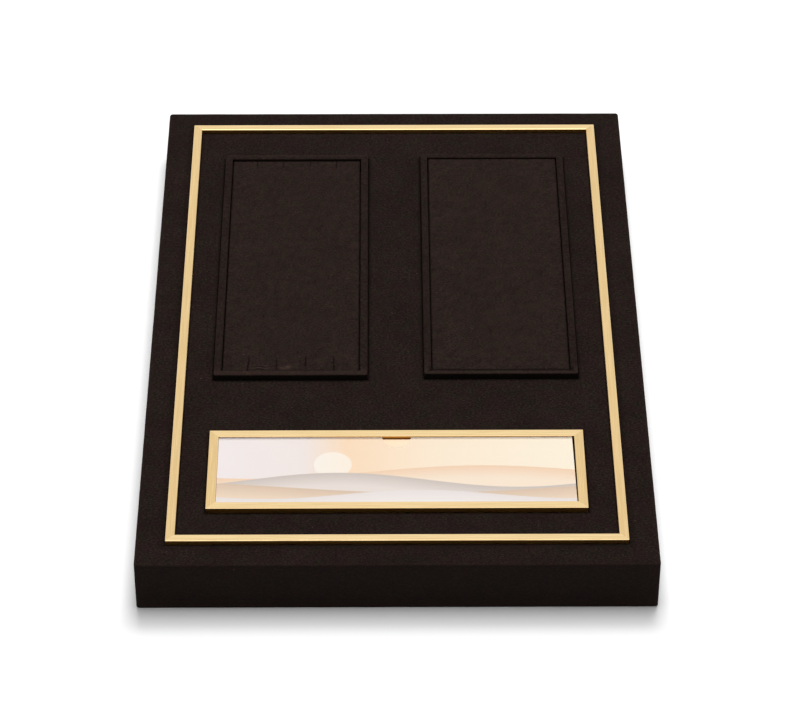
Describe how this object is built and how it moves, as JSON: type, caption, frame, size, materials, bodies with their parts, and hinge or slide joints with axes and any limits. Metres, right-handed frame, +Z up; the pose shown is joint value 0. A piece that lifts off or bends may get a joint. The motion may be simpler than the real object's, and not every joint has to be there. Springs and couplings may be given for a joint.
{
  "type": "jewelry display tray",
  "caption": "Low suede-wrapped jewelry display tray with brass trim, raised lift-out pads and a brass card frame under a notched clear cover.",
  "frame": {"origin": "centre of the tray's footprint on the surface it stands on", "axes": "+X to the viewer's right, +Y along the depth to the back edge (the longest way), +Z up through the thin way; the card frame is at the front, towards -Y"},
  "size_m": [0.24, 0.35, 0.0303],
  "materials": {
    "fibreboard": "raw medium-density fibreboard",
    "dark_board": "medium-density fibreboard dyed near black",
    "microsuede": "dark brown microsuede, short matt nap",
    "felt": "black pressed felt",
    "foam": "pale polyurethane foam",
    "brass": "satin brushed top, polished chamfers",
    "printed_card": "coated printed card, pale pink and tan",
    "clear_sheet": "clear polished acrylic"
  },
  "bodies": {
    "tray": {"base_board": "fibreboard", "card_floor": "dark_board", "card_frame": "brass", "centre_rib": "fibreboard", "front_rail": "fibreboard", "left_pad_border": "microsuede", "left_pad_frame": "dark_board", "left_rail": "fibreboard", "left_well_liner": "microsuede", "rear_rail": "fibreboard", "right_pad_border": "microsuede", "right_pad_frame": "dark_board", "right_rail": "fibreboard", "right_well_liner": "microsuede", "top_board": "dark_board", "tray_cover": "microsuede", "trim_frame": "brass", "underside_lining": "felt"},
    "left_insert": {"left_insert_board": "fibreboard", "left_insert_foam": "foam", "left_insert_cover": "microsuede"},
    "right_insert": {"right_insert_board": "fibreboard", "right_insert_foam": "foam", "right_insert_cover": "microsuede"},
    "cover": {"clear_cover": "clear_sheet"},
    "card": {"printed_card": "printed_card"}
  },
  "joints": [
    {"name": "left_insert_lift", "type": "slide", "parent": "tray", "child": "left_insert", "axis": [0, 0, 1], "range_m": [0, 0.03]},
    {"name": "right_insert_lift", "type": "slide", "parent": "tray", "child": "right_insert", "axis": [0, 0, 1], "range_m": [0, 0.03]},
    {"name": "cover_lift", "type": "slide", "parent": "tray", "child": "cover", "axis": [0, 0, 1], "range_m": [0, 0.04]},
    {"name": "card_lift", "type": "slide", "parent": "tray", "child": "card", "axis": [0, 0, 1], "range_m": [0, 0.02]}
  ],
  "couplings": [
    {"joint": "card_lift", "follows": "cover_lift", "ratio": 0.5}
  ]
}
